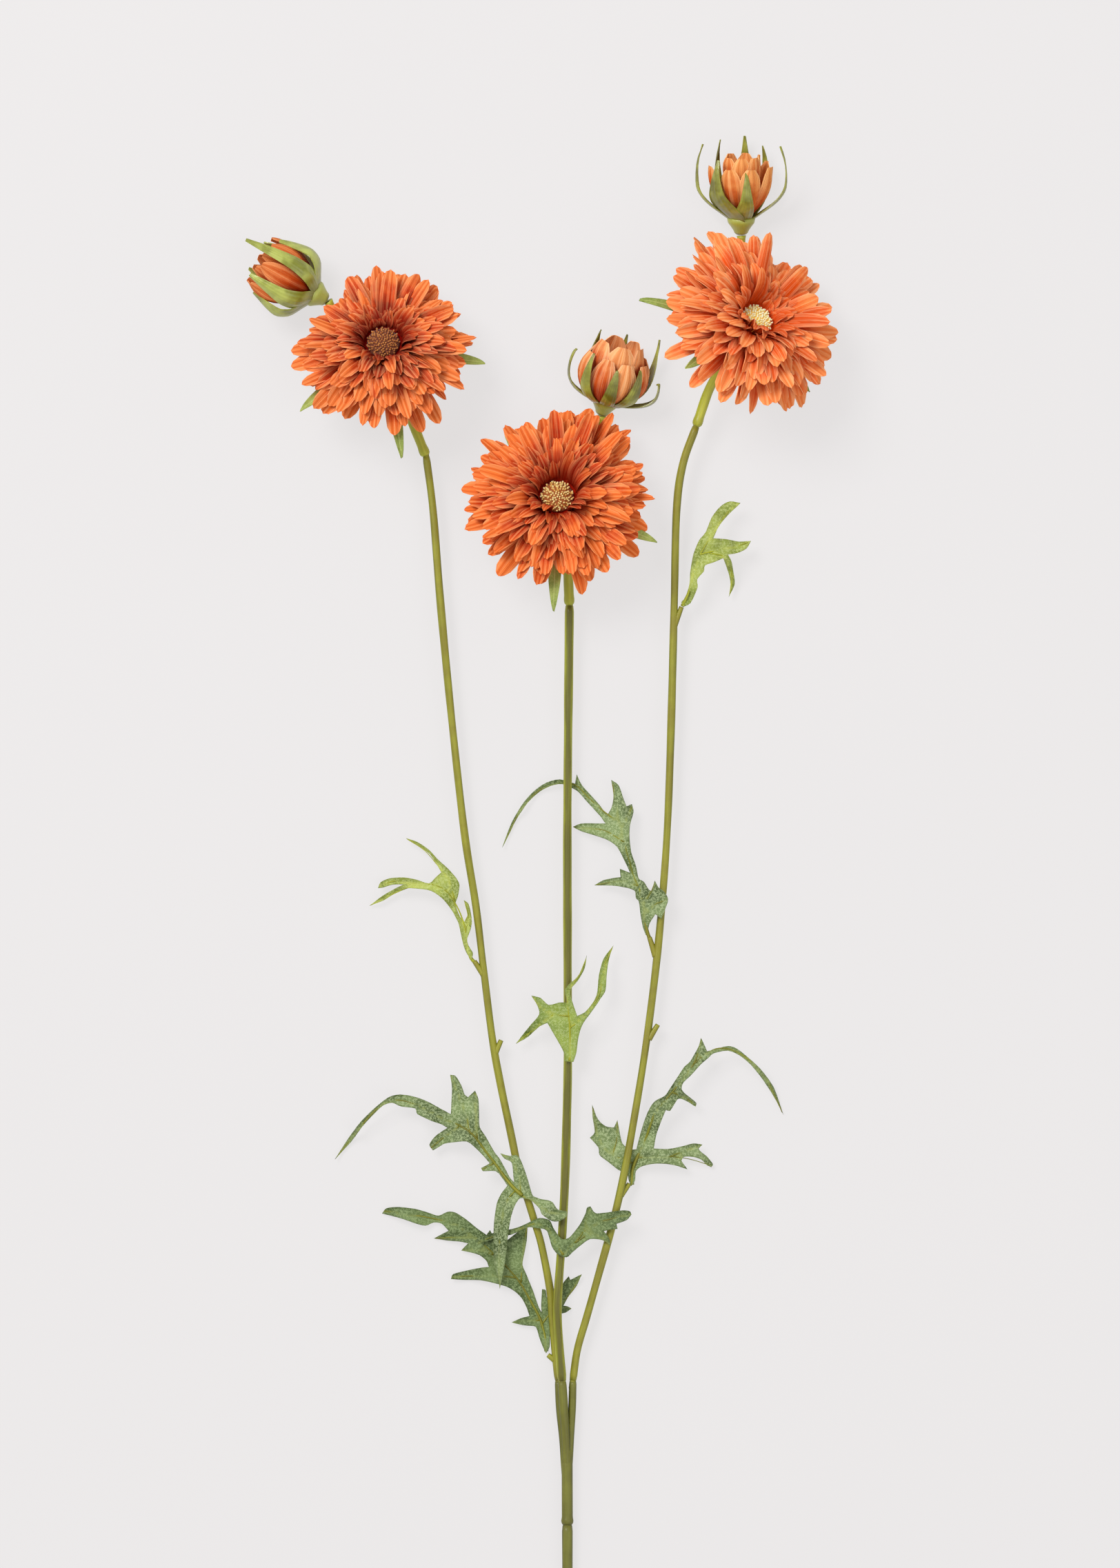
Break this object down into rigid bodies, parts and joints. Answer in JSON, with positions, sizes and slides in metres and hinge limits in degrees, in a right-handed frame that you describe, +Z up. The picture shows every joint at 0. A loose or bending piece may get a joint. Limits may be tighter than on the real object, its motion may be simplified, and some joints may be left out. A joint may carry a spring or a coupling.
{
  "type": "cut gerbera",
  "caption": "Branched artificial gerbera spray with double orange blooms, side buds and cut leaves on plastic-covered wire stems, lying down.",
  "frame": {"origin": "middle of the spray's box, at the surface that it lies on", "axes": "+Y along the stems from the cut end to the buds, +Z up from the surface, out of the blooms' faces, +X across the spray, to the right with the buds at the top"},
  "size_m": [0.2632, 0.703, 0.0601],
  "materials": {
    "stem": "satin olive green",
    "stem_dark": "satin brown olive",
    "neck": "satin yellow green",
    "petal": "woven polyester, printed orange",
    "bud_petal": "woven polyester, printed peach",
    "disc": "flocked cream yellow",
    "sepal": "woven polyester, pale green",
    "bud_calyx": "moulded pale green",
    "leaf_light": "woven polyester, yellow green",
    "leaf_grey": "woven polyester, grey green"
  },
  "bodies": {
    "root": {"stem_lower": "stem", "fork_sleeve": "stem", "branch_left": "stem", "branch_middle": "stem_dark", "branch_right": "stem", "bloom_left_calyx": "neck", "bloom_left_sepals": "sepal", "bloom_left_petals_1": "petal", "bloom_left_petals_2": "petal", "bloom_left_petals_3": "petal", "bloom_left_petals_4": "petal", "bloom_left_petals_5": "petal", "bloom_left_petals_6": "petal", "bloom_left_disc": "disc", "bloom_middle_calyx": "neck", "bloom_middle_sepals": "sepal", "bloom_middle_petals_1": "petal", "bloom_middle_petals_2": "petal", "bloom_middle_petals_3": "petal", "bloom_middle_petals_4": "petal", "bloom_middle_petals_5": "petal", "bloom_middle_petals_6": "petal", "bloom_middle_disc": "disc", "bloom_right_calyx": "neck", "bloom_right_sepals": "sepal", "bloom_right_petals_1": "petal", "bloom_right_petals_2": "petal", "bloom_right_petals_3": "petal", "bloom_right_petals_4": "petal", "bloom_right_petals_5": "petal", "bloom_right_petals_6": "petal", "bloom_right_disc": "disc", "bud_left_stem": "neck", "bud_left_calyx": "bud_calyx", "bud_left_outer_petals": "bud_petal", "bud_left_inner_petals": "bud_petal", "bud_middle_stem": "neck", "bud_middle_calyx": "bud_calyx", "bud_middle_outer_petals": "bud_petal", "bud_middle_inner_petals": "bud_petal", "bud_right_stem": "neck", "bud_right_calyx": "bud_calyx", "bud_right_outer_petals": "bud_petal", "bud_right_inner_petals": "bud_petal", "leaf_upper_right": "leaf_light", "leaf_upper_left": "leaf_light", "leaf_middle_right": "leaf_grey", "leaf_middle": "leaf_light", "leaf_lower_right": "leaf_grey", "leaf_lower_left": "leaf_grey", "leaf_lowest": "leaf_grey", "leaf_low_middle": "leaf_grey"}
  },
  "joints": []
}
